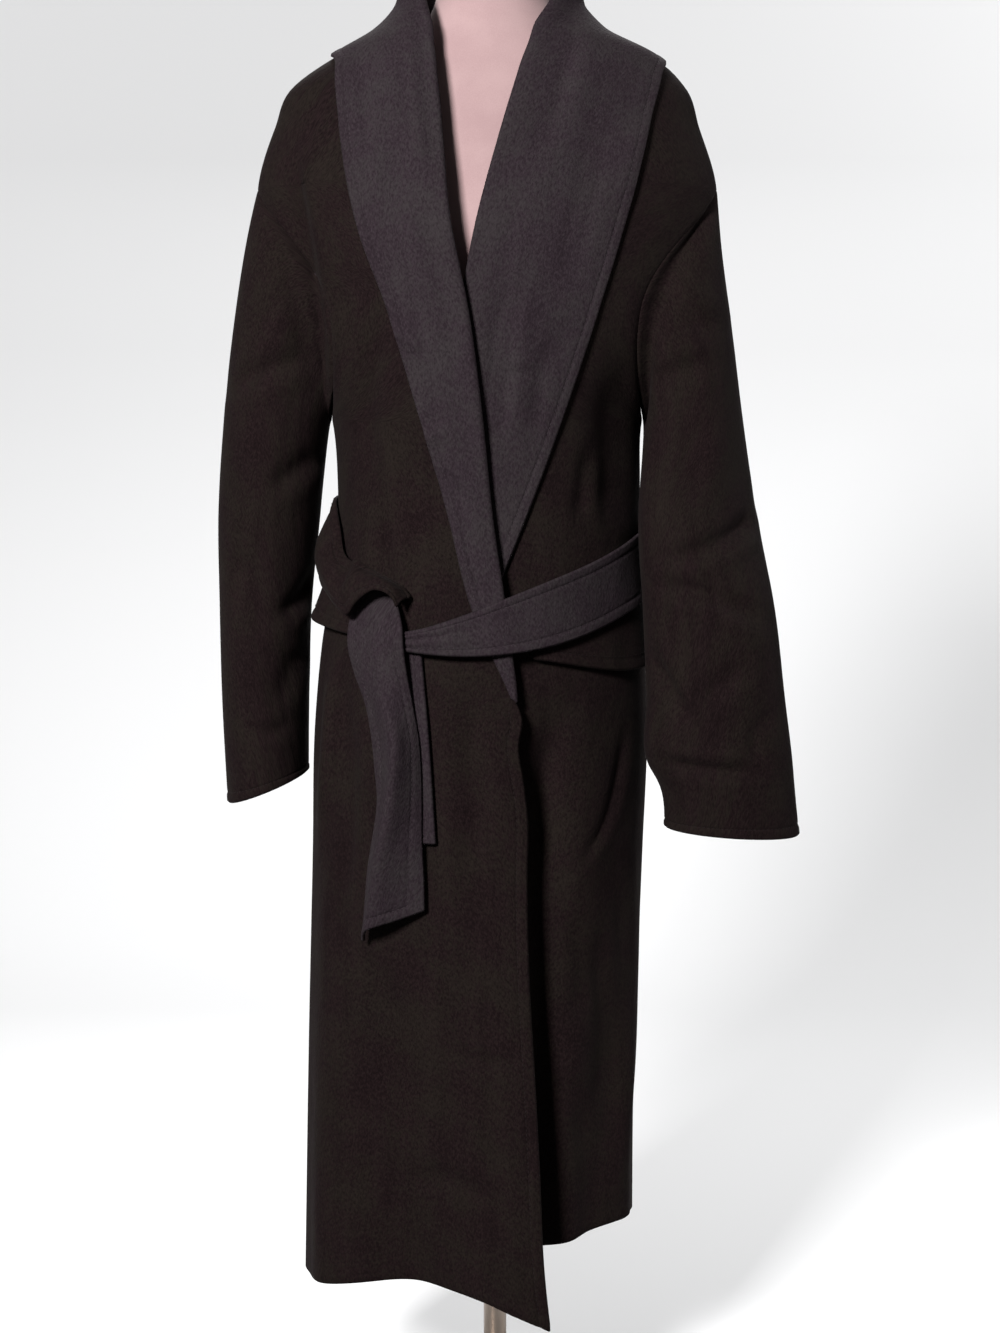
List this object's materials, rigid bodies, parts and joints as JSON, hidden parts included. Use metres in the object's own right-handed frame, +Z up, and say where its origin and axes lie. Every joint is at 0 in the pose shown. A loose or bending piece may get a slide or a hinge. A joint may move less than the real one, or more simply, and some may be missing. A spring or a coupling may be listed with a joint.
{
  "type": "maxi coat on dress form",
  "caption": "Long belted wrap coat with a shawl collar, dropped sleeves and pocket flaps, hung on a limbless dress form with a pole and a round base.",
  "frame": {"origin": "centre of the base's underside, on the floor", "axes": "+Z up along the pole, the coat's front faces -Y, +X towards the wearer's left"},
  "size_m": [0.5902, 0.3285, 1.5263],
  "materials": {
    "outer_wool": "brown-black brushed face of a double-faced wool cloth",
    "inner_wool": "dark plum-grey face of the same cloth",
    "form_jersey": "pink-mauve jersey cover stretched smooth",
    "cap_plastic": "plain black cap",
    "stand_metal": "satin grey-brown metal"
  },
  "bodies": {
    "root": {"back": "outer_wool", "front_left": "outer_wool", "front_right": "outer_wool", "sleeve_left": "outer_wool", "sleeve_right": "outer_wool", "pocket_flap_left": "outer_wool", "pocket_flap_right": "outer_wool", "belt_knot": "outer_wool", "collar_left": "inner_wool", "collar_right": "inner_wool", "belt_waist": "inner_wool", "belt_tail_long": "inner_wool", "belt_tail_short": "inner_wool", "form_torso": "form_jersey", "form_neck_cap": "cap_plastic", "pole": "stand_metal", "base": "stand_metal"}
  },
  "joints": []
}
